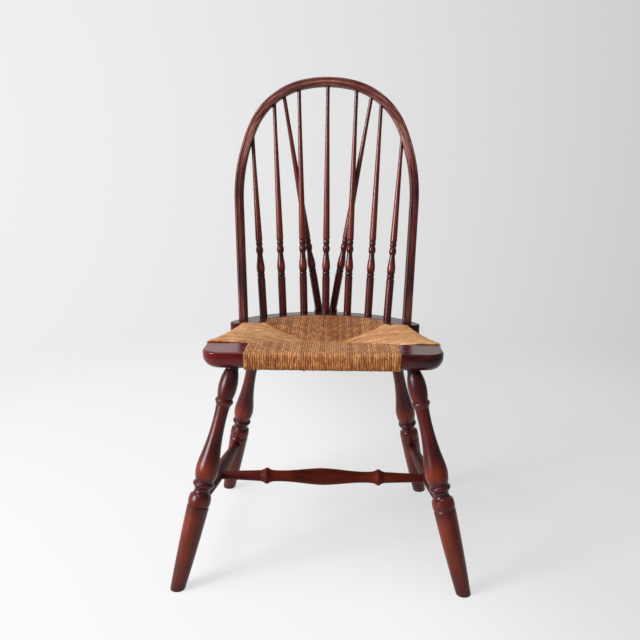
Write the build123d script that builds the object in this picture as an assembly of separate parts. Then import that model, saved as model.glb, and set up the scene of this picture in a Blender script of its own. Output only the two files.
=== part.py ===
from build123d import *
import os
from math import cos, radians, sin

# Brace-back windsor side chair with a woven rush seat. Millimetres, +Z up, the sitter faces -Y.
# Depths are counted back from the front edge of the seat. Left and right are as seen from the front.

# Seat frame
SEAT_HEIGHT = 448.5
SEAT_TILT = 1.6
SEAT_WIDTH = 445.0
FRONT_RAIL_DEPTH = 84.0
FRONT_RAIL_THICK = 34.0
BLOCK_LENGTH = 79.5
BLOCK_FRONT_CORNER = 34.0
BLOCK_BACK_CORNER = 10.0
BLOCK_UNDERCUT = 24.0
BLOCK_EASE = 4.0
EDGE_EASE = 2.5
REAR_RAIL_THICK = 22.0
ROW_RISE = 95.0
RAIL_BACK_MARGIN = 12.0
RAIL_FRONT_MARGIN = 29.0
EAR_LENGTH = 40.0
EAR_CORNER = 16.0
EAR_WALL = 5.0
SIDE_RAIL_WIDTH = 25.0
SIDE_RAIL_THICK = 17.0
SIDE_RAIL_FRONT_INSET = 19.5
SIDE_RAIL_REAR_INSET = 20.0
SIDE_RAIL_HOLLOW = 5.5
SIDE_TENON_WIDTH = 16.0
SIDE_TENON_THICK = 9.0
SIDE_TENON_DEPTH = 18.0
SIDE_TENON_ROOT = 6.0

# Tail block that carries the braces
TAIL_WIDTH = 56.0
TAIL_LENGTH = 52.0
TAIL_CORNER = 14.0
TAIL_TENON_WIDTH = 36.0
TAIL_TENON_THICK = 6.0
TAIL_TENON_DEPTH = 20.0
TAIL_TENON_DROP = 13.0

# Woven rush
RUSH_LAYER = 6.0
RUSH_PROUD = 1.0
RUSH_ROLL = 10.0
RUSH_DISH = 20.0
RUSH_WEB = 5.0
SEAM_HALF = 42.0
SEAM_WIDTH = 2.0
CORE_EASE = 5.0
BAR_WIDTH = 24.0
BAR_EASE = 4.0

# Bent bow
BOW_HEIGHT = 531.5
BOW_WIDTH = 402.5
BOW_LEAN = 12.8
BOW_FOOT_DEPTH = 305.0
BOW_FACE = 19.5
BOW_THICK = 20.0
BOW_ROUND = 4.5
BOW_GROOVE_OFFSET = 4.4
BOW_GROOVE_WIDTH = 1.8
BOW_GROOVE_DEPTH = 1.1
CROWN_RADIUS = 241.0
CROWN_ANGLE = 12.8
SHOULDER_ANGLE = 54.8
SIDE_RADIUS = 389.0
FOOT_SPLAY = 2.8
BOW_TENON_RADIUS = 8.0

# Spindles and braces: (radius, height) stations counted from the seat
SPINDLE_SPACING = 50.2
SPINDLE_TOPS = (0.0, 64.0, 126.0, 209.0)
SPINDLE_SEAT_RADIUS = 8.7
SPINDLE_TOP_RADIUS = 4.2
SPINDLE_TIP = 65.0
SPINDLE_BASE = 84.0
SPINDLE_LOW_NECK = (7.5, 87.0)
SPINDLE_LOW_RING = (8.5, 91.0)
SPINDLE_VASE_FOOT = (7.5, 95.5)
SPINDLE_VASE = (9.2, 109.0)
SPINDLE_VASE_SLOPE = (7.5, 124.0)
SPINDLE_WAIST = (6.0, 139.0)
SPINDLE_BEAD = (8.1, 149.0)
SPINDLE_BEAD_TOP = (6.1, 156.0)
SPINDLE_COLLAR = (7.4, 162.0)
SPINDLE_SHAFT_FOOT = (6.6, 167.0)
SPINDLE_SHAFT = (7.7, 171.0)
BRACE_SPREAD = 32.0
BRACE_SETBACK = 16.0
BRACE_TOP = 101.0
BRACE_RISE = 4.0

# Legs: (radius, distance) stations counted along the leg from the floor at the longest foot
FRONT_FOOT_SPREAD = 536.0
FRONT_FOOT_AHEAD = 47.0
REAR_FOOT_SPREAD = 462.0
REAR_FOOT_DEPTH = 399.0
REAR_FOOT_TRIM = 9.5
FOOT_EASE = 2.5
FRONT_LEG_INSET = 55.0
FRONT_LEG_DEPTH = 42.0
REAR_LEG_INSET = 34.0
LEG_TENON_RADIUS = 12.0
FRONT_TENON_DEPTH = 22.0
REAR_TENON_DEPTH = 14.0
LEG_FOOT = (13.0, -8.0)
LEG_SHIN = (17.9, 78.0)
LEG_LINE = (20.7, 161.0)
LEG_LINE_FLOOR = (19.4, 163.5)
LEG_BEAD_FOOT = (20.6, 166.0)
LEG_BEAD = (21.1, 175.0)
LEG_BEAD_TOP = (19.8, 183.0)
LEG_COVE = (14.3, 192.5)
LEG_RING_FOOT = (17.6, 199.5)
LEG_RING = (20.3, 204.0)
LEG_RING_TOP = (17.2, 209.5)
LEG_VASE_FOOT = (17.2, 211.5)
LEG_VASE = (21.6, 234.0)
LEG_VASE_SLOPE = (17.8, 264.0)
LEG_NECK_FOOT = (13.5, 301.0)
LEG_NECK = (12.4, 338.0)
LEG_NECK_TOP = (13.2, 356.0)
LEG_COLLAR = (17.5, 364.5)
LEG_COLLAR_TOP = (16.8, 368.0)
LEG_BULB_FOOT = (14.5, 370.5)
LEG_BULB = (17.5, 390.0)
LEG_TOP_PLAIN = 8.0

# Stretchers: cross stations are (radius, distance from the middle)
STRETCHER_FRONT_STATION = 165.0
STRETCHER_REAR_STATION = 140.0
STRETCHER_END_RADIUS = 9.0
STRETCHER_SWELL_RADIUS = 14.0
STRETCHER_PLAIN_END = 28.0
STRETCHER_SHORT = 4.0
CROSS_SETBACK = 163.0
CROSS_END_RADIUS = 9.0
CROSS_PLAIN_END = 24.0
CROSS_SHORT = 1.5
CROSS_SWELL = (17.3, 0.0)
CROSS_SLOPE = (14.9, 36.0)
CROSS_WAIST = (11.3, 84.0)
CROSS_RING_SIDE = (11.9, 103.0)
CROSS_RING_STEP = (14.0, 110.0)
CROSS_RING = (16.8, 115.5)
CROSS_OUTER_STEP = (14.0, 121.0)
CROSS_OUTER_SIDE = (11.4, 128.0)
CROSS_ARM = (10.1, 158.0)

# Fits
GLUE_GAP = 0.1
RUSH_GAP = 0.3
SOCKET_DEPTH = 11.0
BORE_OVERRUN = 70.0

# Seat frame places, in the plane of the seat
FRONT_HALF = SEAT_WIDTH / 2
BLOCK_INNER = FRONT_HALF - BLOCK_LENGTH
SEAT = Pos(0, 0, SEAT_HEIGHT) * Rot(X=-SEAT_TILT)
WRAP = RUSH_LAYER - RUSH_PROUD
SIDE_MID = -WRAP - SIDE_RAIL_THICK / 2
SIDE_FRONT = FRONT_HALF - SIDE_RAIL_FRONT_INSET

# Bow centre line in its own plane: crown, shoulder and flank arcs that meet without a kink
BOW_TOP = BOW_HEIGHT - BOW_FACE / 2
BOW_HALF = (BOW_WIDTH - BOW_FACE) / 2
CROWN_SINE = sin(radians(CROWN_ANGLE))
SHOULDER_SINE = sin(radians(CROWN_ANGLE + SHOULDER_ANGLE))
SHOULDER_RUN = BOW_HALF - CROWN_RADIUS * CROWN_SINE - SIDE_RADIUS * (1 - SHOULDER_SINE)
SHOULDER_RADIUS = SHOULDER_RUN / (SHOULDER_SINE - CROWN_SINE)
SIDE_ANGLE = 90 + FOOT_SPLAY - CROWN_ANGLE - SHOULDER_ANGLE


def bow_half(side):
    """Edges of the bow's centre line from the crown to one foot."""
    crown = JernArc((0, BOW_TOP), (side, 0), CROWN_RADIUS, -side * CROWN_ANGLE)
    shoulder = JernArc(crown @ 1, crown % 1, SHOULDER_RADIUS, -side * SHOULDER_ANGLE)
    flank = JernArc(shoulder @ 1, shoulder % 1, SIDE_RADIUS, -side * SIDE_ANGLE)
    drop = (flank @ 1).Y / -(flank % 1).Y
    return [crown, shoulder, flank, Line(flank @ 1, flank @ 1 + (flank % 1) * drop)]


BOW_SIDES = {side: bow_half(side) for side in (-1, 1)}
BOW_FOOT = (BOW_SIDES[1][-1] @ 1).X

# Rear rail places: the spindle row is an arc through both bow feet and the middle spindle
ROW_DEPTH = BOW_FOOT_DEPTH + ROW_RISE
ROW_RADIUS = (BOW_FOOT**2 + ROW_RISE**2) / (2 * ROW_RISE)
ROW_CENTRE = ROW_DEPTH - ROW_RADIUS
RAIL_OUTER = ROW_RADIUS + RAIL_BACK_MARGIN
RAIL_BACK = ROW_CENTRE + RAIL_OUTER
SLOT_OUTER = ROW_RADIUS - RAIL_FRONT_MARGIN
BAR_OUTER = SLOT_OUTER - RUSH_LAYER - RUSH_GAP
BAR_INNER = BAR_OUTER - BAR_WIDTH
EAR_FRONT = BOW_FOOT_DEPTH - EAR_LENGTH
REAR_LEG_TOP = BOW_FOOT - REAR_LEG_INSET
EAR_INNER = REAR_LEG_TOP - LEG_TENON_RADIUS - EAR_WALL
SIDE_REAR = BOW_FOOT - SIDE_RAIL_REAR_INSET


def on_seat(x, depth, drop=0.0):
    """Point of the seat frame, a drop below its top face."""
    return (SEAT * Pos(x, depth, -drop)).position


BOW_NORMAL = Vector(0, -cos(radians(BOW_LEAN)), sin(radians(BOW_LEAN)))
BOW_PLANE = Plane(on_seat(0, BOW_FOOT_DEPTH), (1, 0, 0), BOW_NORMAL)


def bow_point(distance):
    """Point of the bow's centre line, a distance along it from the crown (minus is left)."""
    rest = abs(distance)
    for edge in BOW_SIDES[1 if distance >= 0 else -1]:
        if rest <= edge.length:
            break
        rest -= edge.length
    return BOW_PLANE.from_local_coords(edge.position_at(rest / edge.length))


def row_point(distance):
    """Point of the spindle row, a distance along its arc from the middle (minus is left)."""
    angle = distance / ROW_RADIUS
    return on_seat(ROW_RADIUS * sin(angle), ROW_CENTRE + ROW_RADIUS * cos(angle))


def toward(start, end):
    """Location at start whose Z axis points to end."""
    return Plane(start, z_dir=end - start).location


def bore(mouth, inward, radius, depth):
    """Cutter for a round socket that runs from outside its mouth to its depth."""
    floor = mouth + inward * (depth + GLUE_GAP)
    length = depth + GLUE_GAP + BORE_OVERRUN
    return toward(floor, mouth) * extrude(Circle(radius + GLUE_GAP), length)


def run(*stations):
    """Smooth stretch of a turning through its (radius, height) stations."""
    if len(stations) == 2:
        return Line(*stations)
    if len(stations) == 3:
        return ThreePointArc(*stations)
    return Spline(*stations)


def turned(*runs):
    """Solid turned about Z from the runs of its profile, bottom to top."""
    first = runs[0] @ 0
    last = runs[-1] @ 1
    closing = Polyline(last, (0, last.Y), (0, first.Y), first)
    return revolve(Plane.XZ * make_face(Curve() + list(runs) + closing), Axis.Z)


# Spindles, braces and the places where they enter the seat and the bow
def spindle_axis(index):
    """Seat and bow points of a spindle, counted from the middle one (minus is left)."""
    side = 1 if index >= 0 else -1
    return row_point(index * SPINDLE_SPACING), bow_point(side * SPINDLE_TOPS[abs(index)])


def brace_axis(side):
    """Tail block and bow points of a brace."""
    return on_seat(side * BRACE_SPREAD / 2, RAIL_BACK + BRACE_SETBACK), bow_point(side * BRACE_TOP)


def spindle(axis, rise=0.0):
    """Turned spindle: plain base, small vase, two beads and a long taper into the bow."""
    foot, head = axis
    length = (head - foot).length

    def at(station):
        return (station[0], station[1] + rise)

    base_top = at((SPINDLE_SEAT_RADIUS, SPINDLE_BASE))
    tip = (SPINDLE_TOP_RADIUS, length - SPINDLE_TIP)
    piece = turned(
        run((SPINDLE_SEAT_RADIUS, -SOCKET_DEPTH), base_top),
        run(base_top, at(SPINDLE_LOW_NECK)),
        run(at(SPINDLE_LOW_NECK), at(SPINDLE_LOW_RING), at(SPINDLE_VASE_FOOT)),
        run(at(SPINDLE_VASE_FOOT), at(SPINDLE_VASE), at(SPINDLE_VASE_SLOPE), at(SPINDLE_WAIST)),
        run(at(SPINDLE_WAIST), at(SPINDLE_BEAD), at(SPINDLE_BEAD_TOP)),
        run(at(SPINDLE_BEAD_TOP), at(SPINDLE_COLLAR), at(SPINDLE_SHAFT_FOOT)),
        run(at(SPINDLE_SHAFT_FOOT), at(SPINDLE_SHAFT)),
        run(at(SPINDLE_SHAFT), tip),
        run(tip, (SPINDLE_TOP_RADIUS, length)),
    )
    return toward(foot, head) * piece


SPINDLE_SIDE = len(SPINDLE_TOPS) - 1
SPINDLE_AXES = [spindle_axis(index) for index in range(-SPINDLE_SIDE, SPINDLE_SIDE + 1)]
BRACE_AXES = {side: brace_axis(side) for side in (-1, 1)}


def foot_bore(axis):
    """Socket of a spindle or brace in the seat frame."""
    foot, head = axis
    return bore(foot, (foot - head).normalized(), SPINDLE_SEAT_RADIUS, SOCKET_DEPTH)


def head_bore(axis):
    """Socket of a spindle or brace in the bow, to its centre line."""
    foot, head = axis
    return bore(head, (head - foot).normalized(), SPINDLE_TOP_RADIUS, 0)


# Bow
def bow_foot(side):
    """Centre of a bow foot on the seat and the direction in which it goes down."""
    edge = BOW_SIDES[side][-1]
    tangent = edge % 1
    down = BOW_PLANE.x_dir * tangent.X + BOW_PLANE.y_dir * tangent.Y
    return BOW_PLANE.from_local_coords(edge @ 1), down


def bow_section():
    """Moulded bow section: rounded corners and an incised line beside each front edge."""
    section = RectangleRounded(BOW_THICK, BOW_FACE, BOW_ROUND)
    half = BOW_GROOVE_WIDTH / 2
    face = BOW_THICK / 2
    for middle in (-BOW_GROOVE_OFFSET, BOW_GROOVE_OFFSET):
        floor = (face - BOW_GROOVE_DEPTH, middle)
        section -= make_face(Polyline((face, middle - half), floor, (face, middle + half), close=True))
    return section


def bow():
    """Bent bow, trimmed to the seat, with a round tenon at each foot and the spindle sockets."""
    legs = []
    for side in (-1, 1):
        foot = BOW_SIDES[side][-1]
        legs.append(Line(foot @ 1, foot @ 1 + (foot % 1) * BOW_THICK))
    path = BOW_PLANE.location * Wire(BOW_SIDES[-1] + BOW_SIDES[1] + legs)
    section = Plane(path @ 0, BOW_NORMAL, path % 0) * bow_section()
    hoop = split(sweep(section, path), Plane(SEAT), Keep.TOP)
    for side in (-1, 1):
        foot, down = bow_foot(side)
        start = foot - down * BOW_TENON_RADIUS
        tenon = extrude(Circle(BOW_TENON_RADIUS), BOW_TENON_RADIUS + SOCKET_DEPTH)
        hoop += toward(start, foot) * tenon
    for axis in SPINDLE_AXES + list(BRACE_AXES.values()):
        hoop -= head_bore(axis)
    return hoop


# Legs
def leg_ends(row, side):
    """Foot on the floor and top at the underside of the seat, for the front or rear pair."""
    if row == "front":
        foot = Vector(side * FRONT_FOOT_SPREAD / 2, -FRONT_FOOT_AHEAD, 0)
        return foot, on_seat(side * (FRONT_HALF - FRONT_LEG_INSET), FRONT_LEG_DEPTH, FRONT_RAIL_THICK)
    foot = Vector(side * REAR_FOOT_SPREAD / 2, REAR_FOOT_DEPTH, 0)
    return foot, on_seat(side * REAR_LEG_TOP, BOW_FOOT_DEPTH, REAR_RAIL_THICK)


def leg_trim(row):
    """Length cut off the foot of the shared turning."""
    return REAR_FOOT_TRIM if row == "rear" else 0.0


def leg_point(row, side, station):
    """Point on a leg's axis at a station of the turning."""
    foot, top = leg_ends(row, side)
    return foot + (top - foot).normalized() * (station - leg_trim(row))


def leg_socket(row, side):
    """Socket of a leg in the underside of the seat frame."""
    foot, top = leg_ends(row, side)
    depth = FRONT_TENON_DEPTH if row == "front" else REAR_TENON_DEPTH
    return bore(top, (top - foot).normalized(), LEG_TENON_RADIUS, depth)


def leg(row, side):
    """Turned leg: tapered foot, incised line, beads, vase, collar, bulb and a round tenon."""
    foot, top = leg_ends(row, side)
    trim = leg_trim(row)
    under_seat = (top - foot).length + trim
    tenon = FRONT_TENON_DEPTH if row == "front" else REAR_TENON_DEPTH
    plain = (LEG_TENON_RADIUS, under_seat - LEG_TOP_PLAIN)
    piece = turned(
        run(LEG_FOOT, LEG_SHIN, LEG_LINE),
        run(LEG_LINE, LEG_LINE_FLOOR),
        run(LEG_LINE_FLOOR, LEG_BEAD_FOOT),
        run(LEG_BEAD_FOOT, LEG_BEAD, LEG_BEAD_TOP),
        run(LEG_BEAD_TOP, LEG_COVE, LEG_RING_FOOT),
        run(LEG_RING_FOOT, LEG_RING, LEG_RING_TOP),
        run(LEG_RING_TOP, LEG_VASE_FOOT),
        run(LEG_VASE_FOOT, LEG_VASE, LEG_VASE_SLOPE, LEG_NECK_FOOT, LEG_NECK, LEG_NECK_TOP),
        run(LEG_NECK_TOP, LEG_COLLAR),
        run(LEG_COLLAR, LEG_COLLAR_TOP),
        run(LEG_COLLAR_TOP, LEG_BULB_FOOT),
        run(LEG_BULB_FOOT, LEG_BULB, plain),
        run(plain, (LEG_TENON_RADIUS, under_seat + tenon)),
    )
    placed = split(toward(leg_point(row, side, 0), top) * piece, Plane.XY, Keep.TOP)
    placed = fillet(placed.faces().sort_by(Axis.Z)[0].edges(), FOOT_EASE)
    return placed - stretcher_bore(row, side)


# Stretchers
def stretcher_axis(side):
    """Points where a side stretcher's axis meets the axes of its two legs."""
    front = leg_point("front", side, STRETCHER_FRONT_STATION)
    return front, leg_point("rear", side, STRETCHER_REAR_STATION)


def stretcher_bore(row, side):
    """Socket of a side stretcher in a leg, which stops short of the leg's axis."""
    front, rear = stretcher_axis(side)
    ahead = (front - rear).normalized()
    end, inward = (front, ahead) if row == "front" else (rear, -ahead)
    return bore(end - inward * STRETCHER_SHORT, inward, STRETCHER_END_RADIUS, 0)


def cross_end(side):
    """Point on a side stretcher's axis where the cross stretcher meets it."""
    front, rear = stretcher_axis(side)
    return front + (rear - front).normalized() * CROSS_SETBACK


def side_stretcher(side):
    """Swelled side stretcher between the legs, bored for the cross stretcher."""
    front, rear = stretcher_axis(side)
    length = (rear - front).length
    ends = (STRETCHER_SHORT, length - STRETCHER_SHORT)
    swell = (STRETCHER_END_RADIUS, STRETCHER_PLAIN_END), (STRETCHER_END_RADIUS, length - STRETCHER_PLAIN_END)
    piece = turned(
        run((STRETCHER_END_RADIUS, ends[0]), swell[0]),
        run(swell[0], (STRETCHER_SWELL_RADIUS, length / 2), swell[1]),
        run(swell[1], (STRETCHER_END_RADIUS, ends[1])),
    )
    mouth = cross_end(side)
    outward = (mouth - cross_end(-side)).normalized()
    return toward(front, rear) * piece - bore(mouth - outward * CROSS_SHORT, outward, CROSS_END_RADIUS, 0)


def cross_stretcher():
    """Cross stretcher: a swelled middle between two turned rings, and plain arms."""
    left, right = cross_end(-1), cross_end(1)
    reach = (right - left).length / 2 - CROSS_SHORT
    arm_end = (CROSS_END_RADIUS, reach - CROSS_PLAIN_END)
    half = turned(
        run(CROSS_SWELL, CROSS_SLOPE, CROSS_WAIST, CROSS_RING_SIDE),
        run(CROSS_RING_SIDE, CROSS_RING_STEP),
        run(CROSS_RING_STEP, CROSS_RING, CROSS_OUTER_STEP),
        run(CROSS_OUTER_STEP, CROSS_OUTER_SIDE),
        run(CROSS_OUTER_SIDE, CROSS_ARM, arm_end),
        run(arm_end, (CROSS_END_RADIUS, reach)),
    )
    return toward((left + right) / 2, right) * (half + mirror(half, Plane.XY))


# Seat frame pieces, drawn flat with the top face at Z = 0 and then tilted with the seat
def from_seat(cutter):
    """Cutter of the upright chair brought into the flat drawing of the seat."""
    return SEAT.inverse() * cutter


def end_block():
    """Bare right-hand block of the front rail, rounded in plan and undercut at its front and end."""
    plan = Pos(BLOCK_INNER, 0) * Rectangle(BLOCK_LENGTH, FRONT_RAIL_DEPTH, align=(Align.MIN, Align.MIN))
    plan = fillet(plan.vertices().sort_by_distance((FRONT_HALF, 0))[0], BLOCK_FRONT_CORNER)
    block = extrude(plan, -FRONT_RAIL_THICK)

    def outer(edges):
        return edges.filter_by(lambda edge: edge.center().X > BLOCK_INNER + EDGE_EASE)

    under = outer(block.faces().sort_by(Axis.Z)[0].edges())
    block = fillet(under - under.group_by(Axis.Y)[-1], BLOCK_UNDERCUT)
    back = block.faces().sort_by(Axis.Y)[-1].edges()
    block = fillet(back.group_by(Axis.X)[-1], BLOCK_BACK_CORNER)
    return fillet(outer(block.faces().sort_by(Axis.Z)[-1].edges()), BLOCK_EASE)


def front_core(grow=0.0):
    """Slimmer middle of the front rail that the rush wraps."""
    section = RectangleRounded(
        FRONT_RAIL_DEPTH - 2 * WRAP + 2 * grow, FRONT_RAIL_THICK - 2 * WRAP + 2 * grow, CORE_EASE
    )
    reach = BLOCK_INNER + EDGE_EASE
    start = Plane((-reach, FRONT_RAIL_DEPTH / 2, -FRONT_RAIL_THICK / 2), (0, 1, 0), (1, 0, 0))
    return extrude(start * section, 2 * reach)


def side_tenon(x, shoulder, way, grow=0.0):
    """Flat tenon of a side rail, forward (-1) or back (1) of its shoulder, or its mortise when grown."""
    size = (SIDE_TENON_WIDTH, SIDE_TENON_DEPTH + SIDE_TENON_ROOT, SIDE_TENON_THICK)
    middle = shoulder + way * (SIDE_TENON_DEPTH - SIDE_TENON_ROOT) / 2
    return Pos(x, middle, SIDE_MID) * Box(*(length + 2 * grow for length in size))


def front_seat_rail():
    """Front rail in one piece, with leg sockets and mortises for the side rails."""
    block = end_block()
    rail = block + mirror(block, Plane.YZ) + front_core()
    for side in (-1, 1):
        rail -= side_tenon(side * SIDE_FRONT, FRONT_RAIL_DEPTH, -1, GLUE_GAP)
        rail -= from_seat(leg_socket("front", side))
    return rail


def side_plan(half, gap=0.0):
    """Plan of the right-hand side rail, or of its rush, hollow along its outer edge."""
    front, rear = FRONT_RAIL_DEPTH + gap, EAR_FRONT - gap
    waist = (SIDE_FRONT + SIDE_REAR) / 2 - SIDE_RAIL_HOLLOW, (front + rear) / 2
    outer = ThreePointArc((SIDE_FRONT + half, front), (waist[0] + half, waist[1]), (SIDE_REAR + half, rear))
    inner = ThreePointArc((SIDE_REAR - half, rear), (waist[0] - half, waist[1]), (SIDE_FRONT - half, front))
    ends = Line(outer @ 1, inner @ 0), Line(inner @ 1, outer @ 0)
    return make_face(Curve() + [outer, ends[0], inner, ends[1]])


def side_bar(plan, top, thick, ease, side):
    """Bar over a side rail's plan with its long edges rounded, for one side."""
    bar = Pos(0, 0, top) * extrude(plan, -thick)
    bar = fillet(bar.edges().filter_by(GeomType.CIRCLE), ease)
    return bar if side > 0 else mirror(bar, Plane.YZ)


def side_body(side, grow=0.0):
    """Side rail between the front rail and the ear of the rear rail."""
    plan = side_plan(SIDE_RAIL_WIDTH / 2 + grow)
    return side_bar(plan, -WRAP + grow, SIDE_RAIL_THICK + 2 * grow, CORE_EASE, side)


def side_seat_rail(side):
    """Side rail with a flat tenon at each end."""
    rail = side_body(side)
    rail += side_tenon(side * SIDE_FRONT, FRONT_RAIL_DEPTH, -1)
    return rail + side_tenon(side * SIDE_REAR, EAR_FRONT, 1)


def ring(inner, outer, half_width):
    """Part of a flat ring about the row's centre, behind the ears' front and within a width."""
    band = Pos(0, ROW_CENTRE) * (Circle(outer) - Circle(inner))
    return band & Pos(0, EAR_FRONT) * Rectangle(2 * half_width, 2 * outer, align=(Align.CENTER, Align.MIN))


def pocket(radius, half_width):
    """Space in front of the rear plank where the rush and its bar lie."""
    disc = Pos(0, ROW_CENTRE) * Circle(radius)
    return disc & Pos(0, ROW_CENTRE) * Rectangle(2 * half_width, 2 * radius)


def rear_bar(grow=0.0):
    """Curved bar of the rear rail, in front of the slot, that the rush wraps."""
    plan = ring(BAR_INNER - grow, BAR_OUTER + grow, EAR_INNER + CORE_EASE)
    bar = Pos(0, 0, -WRAP + grow) * extrude(plan, -(REAR_RAIL_THICK - 2 * WRAP) - 2 * grow)
    return fillet(bar.edges().filter_by(GeomType.CIRCLE), BAR_EASE)


def tail_tenon(grow=0.0):
    """Tenon of the tail block in the back of the rear rail, or its mortise when grown."""
    size = (TAIL_TENON_WIDTH, 2 * TAIL_TENON_DEPTH, TAIL_TENON_THICK)
    place = Pos(0, RAIL_BACK, -TAIL_TENON_DROP - TAIL_TENON_THICK / 2)
    return place * Box(*(length + 2 * grow for length in size))


def rear_seat_rail():
    """Curved rear plank: ears, rush slot and bar, and every socket of the back."""
    behind = Rectangle(2 * RAIL_OUTER, 2 * RAIL_OUTER, align=(Align.CENTER, Align.MIN))
    plan = (Pos(0, ROW_CENTRE) * Circle(RAIL_OUTER)) & (Pos(0, EAR_FRONT) * behind)
    plank = extrude(fillet(plan.vertices(), EAR_CORNER), -REAR_RAIL_THICK)
    plank = fillet(plank.faces().filter_by(Axis.Z).edges(), EDGE_EASE)
    rail = plank - extrude(pocket(SLOT_OUTER, EAR_INNER), -REAR_RAIL_THICK) + rear_bar()
    rail -= tail_tenon(GLUE_GAP)
    for axis in SPINDLE_AXES:
        rail -= from_seat(foot_bore(axis))
    for side in (-1, 1):
        foot, down = bow_foot(side)
        rail -= from_seat(bore(foot, down, BOW_TENON_RADIUS, SOCKET_DEPTH))
        rail -= from_seat(leg_socket("rear", side))
        rail -= side_tenon(side * SIDE_REAR, EAR_FRONT, 1, GLUE_GAP)
    return rail


def tail_block():
    """Block behind the rear rail: concave front, rounded back corners, tenon and brace sockets."""
    seat_in_rail = RAIL_BACK - TAIL_TENON_DEPTH
    plan = Rectangle(TAIL_WIDTH, TAIL_LENGTH + TAIL_TENON_DEPTH, align=(Align.CENTER, Align.MIN))
    corners = plan.vertices().group_by(Axis.Y)[-1]
    block = extrude(Pos(0, seat_in_rail) * fillet(corners, TAIL_CORNER), -REAR_RAIL_THICK)
    block = fillet(block.faces().filter_by(Axis.Z).edges(), EDGE_EASE)
    rail_face = Pos(0, ROW_CENTRE) * Circle(RAIL_OUTER + GLUE_GAP)
    block -= extrude(rail_face, -REAR_RAIL_THICK)
    block += tail_tenon()
    for axis in BRACE_AXES.values():
        block -= from_seat(foot_bore(axis))
    return block


# Woven rush seat: rolls round the rails and a dished web that falls to the seams
def front_roll():
    """Rush round the middle of the front rail."""
    section = RectangleRounded(
        FRONT_RAIL_DEPTH + 2 * RUSH_PROUD, FRONT_RAIL_THICK + 2 * RUSH_PROUD, RUSH_ROLL
    )
    reach = BLOCK_INNER - RUSH_GAP
    start = Plane((-reach, FRONT_RAIL_DEPTH / 2, -FRONT_RAIL_THICK / 2), (0, 1, 0), (1, 0, 0))
    return extrude(start * section, 2 * reach)


def side_roll(side):
    """Rush round a side rail."""
    plan = side_plan(SIDE_RAIL_WIDTH / 2 + RUSH_LAYER, RUSH_GAP)
    return side_bar(plan, RUSH_PROUD, SIDE_RAIL_THICK + 2 * RUSH_LAYER, RUSH_ROLL, side)


def rear_roll():
    """Rush round the bar of the rear rail, out to the edge of the slot."""
    plan = ring(BAR_INNER - RUSH_LAYER, SLOT_OUTER - RUSH_GAP, EAR_INNER - RUSH_GAP)
    return Pos(0, 0, RUSH_PROUD) * extrude(plan, -REAR_RAIL_THICK - 2 * RUSH_PROUD)


def web_plan():
    """Outline of the stretched rush between the four rolls."""
    inner = BLOCK_INNER - RUSH_GAP
    ear = EAR_INNER - RUSH_GAP
    front, rear = FRONT_RAIL_DEPTH + RUSH_GAP, EAR_FRONT - RUSH_GAP
    middle = FRONT_RAIL_DEPTH / 2
    right = [(inner, middle), (inner, front), (SIDE_FRONT, front), (SIDE_REAR, rear), (ear, rear)]
    left = [(-x, y) for x, y in reversed(right)]
    back = ThreePointArc((ear, rear), (0, ROW_CENTRE + BAR_INNER), (-ear, rear))
    return make_face(Curve() + Polyline(*left, *right) + back)


def dish():
    """Hollow of the seat: four slopes from the rolls down to the seams."""
    middle = (FRONT_RAIL_DEPTH + EAR_FRONT) / 2
    front = FRONT_RAIL_DEPTH + RUSH_PROUD
    left = (-EAR_INNER, EAR_FRONT), (-BLOCK_INNER, front)
    rim = Polyline(*left, (BLOCK_INNER, front), (EAR_INNER, EAR_FRONT))
    back = ThreePointArc(rim @ 1, (0, ROW_CENTRE + BAR_INNER - RUSH_LAYER), rim @ 0)
    top = Pos(0, 0, RUSH_PROUD + GLUE_GAP) * make_face(Curve() + rim + back)
    seam = Pos(0, middle, -RUSH_DISH) * Rectangle(2 * SEAM_HALF, SEAM_WIDTH)
    return loft([top, seam], ruled=True)


def rush_seat():
    """Woven seat as one soft body round the four rails."""
    web = Pos(0, 0, RUSH_PROUD) * extrude(web_plan(), -RUSH_PROUD - RUSH_DISH - RUSH_WEB)
    seat = web + front_roll() + side_roll(-1) + side_roll(1) + rear_roll() - dish()
    seat -= front_core(RUSH_GAP)
    seat -= rear_bar(RUSH_GAP)
    for side in (-1, 1):
        seat -= side_body(side, RUSH_GAP)
    return seat


def chair():
    """Every piece of the chair by name, standing on the floor."""
    sides = {"left": -1, "right": 1}
    pieces = {
        "front_seat_rail": SEAT * front_seat_rail(),
        "rear_seat_rail": SEAT * rear_seat_rail(),
        "tail_block": SEAT * tail_block(),
        "rush_seat": SEAT * rush_seat(),
        "bow": bow(),
        "cross_stretcher": cross_stretcher(),
    }
    for number, axis in enumerate(SPINDLE_AXES, start=1):
        pieces[f"spindle_{number}"] = spindle(axis)
    for name, side in sides.items():
        pieces[f"brace_{name}"] = spindle(BRACE_AXES[side], BRACE_RISE)
        pieces[f"side_seat_rail_{name}"] = SEAT * side_seat_rail(side)
        pieces[f"side_stretcher_{name}"] = side_stretcher(side)
        for row in ("front", "rear"):
            pieces[f"leg_{row}_{name}"] = leg(row, side)
    return pieces


# The origin is on the floor, on the plane of symmetry and midway between the foremost and rearmost edges
PIECES = chair()
EDGES = Compound([edge for piece in PIECES.values() for edge in piece.edges()])
TO_ORIGIN = Pos(0, -EDGES.bounding_box().center().Y)
os.makedirs("parts", exist_ok=True)
for name, piece in PIECES.items():
    export_step(TO_ORIGIN * piece.solid(), f"parts/{name}.step")
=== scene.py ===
"""Looks of a brace-back windsor side chair with a woven rush seat, dressed on its fixed frame.

Metres, +Z up, the sitter faces -Y. Left and right are as seen from the front.
"""

import logging
import math
import random
from dataclasses import dataclass, field
from enum import Enum
from functools import partial
from typing import Any, Callable, Optional, Protocol, Sequence

import bpy
import numpy as np
from mathutils import Matrix, Vector


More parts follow.
